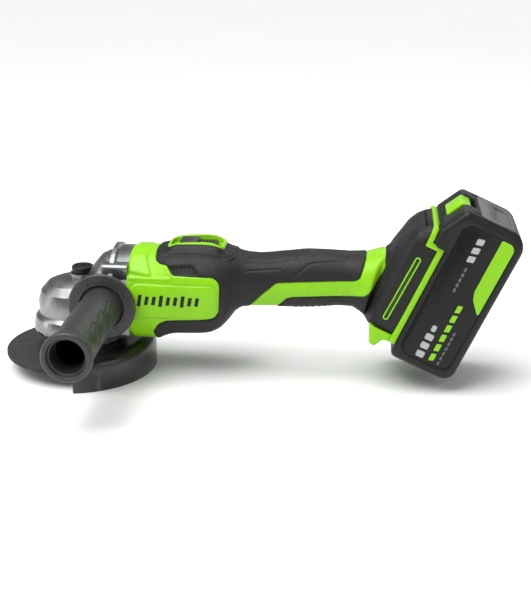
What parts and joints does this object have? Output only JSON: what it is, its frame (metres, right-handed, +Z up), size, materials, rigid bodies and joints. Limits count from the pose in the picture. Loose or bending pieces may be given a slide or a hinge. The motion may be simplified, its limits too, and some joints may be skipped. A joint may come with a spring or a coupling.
{
  "type": "cordless angle grinder",
  "caption": "Cordless angle grinder with cutting wheel, wheel guard, side handle, slide switch and slide-on battery pack.",
  "frame": {"origin": "tip of the threaded spindle, on its axis", "axes": "+Z up along the spindle into the gear case, +X back along the motor and grip to the battery, -Y towards the side handle"},
  "size_m": [0.4068, 0.2134, 0.1474],
  "materials": {
    "lime_shell": "moulded lime green plastic, fine texture",
    "soft_skin": "soft black overmould with fine grain",
    "black_plastic": "moulded black plastic",
    "dark_plastic": "moulded dark grey plastic",
    "grey_plastic": "moulded grey plastic",
    "cast_alloy": "die-cast alloy, satin",
    "bright_alloy": "machined alloy",
    "steel": "machined steel",
    "black_steel": "blackened steel",
    "painted_steel": "pressed steel, satin black paint",
    "abrasive": "resin-bonded abrasive with glass mesh",
    "spring_steel": "spring wire",
    "copper": "enamelled copper",
    "brass_contact": "plated contact metal",
    "board_green": "printed circuit board",
    "felt": "felt",
    "lead_red": "insulated lead",
    "cell_wrap": "shrink-wrapped cell",
    "label": "printed plate"
  },
  "bodies": {
    "grinder": {"spindle_bearing_lower": "steel", "spindle_bearing_upper": "steel", "dust_seal": "felt", "bearing_cover": "bright_alloy", "bearing_cover_screws": "black_steel", "gear_case": "cast_alloy", "gear_case_screws": "black_steel", "lock_spring": "spring_steel", "side_handle": "dark_plastic", "handle_sleeve": "black_plastic", "handle_stud": "steel", "stator_core": "steel", "stator_windings": "copper", "motor_bearing_front": "steel", "motor_bearing_rear": "steel", "air_baffle": "black_plastic", "position_board": "board_green", "rear_bearing_holder": "black_plastic", "housing_left": "lime_shell", "housing_right": "lime_shell", "overmould_left": "soft_skin", "overmould_right": "soft_skin", "closing_screws": "black_steel", "switch_bezel": "lime_shell", "power_switch": "black_plastic", "controller_heatsink": "bright_alloy", "controller_board": "board_green", "phase_leads": "lead_red", "battery_leads": "lead_red", "switch_leads": "lead_red", "tool_terminal_block": "black_plastic", "tool_terminals": "brass_contact"},
    "spindle": {"spindle": "steel", "inner_flange": "steel", "clamp_nut": "black_steel", "cutting_wheel": "abrasive", "bevel_gear": "steel"},
    "rotor": {"rotor_shaft": "steel", "rotor_core": "steel", "rotor_magnets": "black_steel", "bevel_pinion": "steel", "cooling_fan": "black_plastic"},
    "guard": {"guard": "painted_steel", "guard_clamp": "painted_steel", "guard_clamp_screw": "black_steel"},
    "lock_button": {"spindle_lock_button": "black_plastic", "lock_pin": "steel"},
    "switch": {"switch_slider": "dark_plastic", "switch_rod": "steel"},
    "battery": {"battery_base": "black_plastic", "battery_shell": "black_plastic", "battery_label_left": "label", "battery_label_right": "label", "battery_end_cap": "grey_plastic", "battery_cells": "cell_wrap", "cell_holders": "black_plastic", "battery_board": "board_green", "battery_terminals": "brass_contact", "release_spring": "spring_steel"},
    "release_button": {"release_button": "lime_shell"}
  },
  "joints": [
    {"name": "spindle_spin", "type": "hinge", "parent": "grinder", "child": "spindle", "pos_m": [0, 0, 0], "axis": [0, 0, 1], "continuous": true},
    {"name": "rotor_spin", "type": "hinge", "parent": "grinder", "child": "rotor", "pos_m": [0.06, 0, 0.06], "axis": [1, 0, 0], "continuous": true},
    {"name": "guard_turn", "type": "hinge", "parent": "grinder", "child": "guard", "pos_m": [0, 0, 0.02], "axis": [0, 0, 1], "range_deg": [-90, 90]},
    {"name": "spindle_lock", "type": "slide", "parent": "grinder", "child": "lock_button", "axis": [0, 0, -1], "range_m": [0, 0.0045], "stiffness_N_per_m": 800, "deforming": ["lock_spring"]},
    {"name": "switch_slide", "type": "slide", "parent": "grinder", "child": "switch", "axis": [-1, 0, 0], "range_m": [0, 0.0065]},
    {"name": "battery_slide", "type": "slide", "parent": "grinder", "child": "battery", "axis": [0.4131, 0, 0.9107], "range_m": [0, 0.1]},
    {"name": "battery_release", "type": "slide", "parent": "battery", "child": "release_button", "axis": [0.9107, 0, -0.4131], "range_m": [0, 0.003], "stiffness_N_per_m": 600, "deforming": ["release_spring"]}
  ],
  "couplings": [
    {"joint": "rotor_spin", "follows": "spindle_spin", "ratio": 3.3}
  ]
}
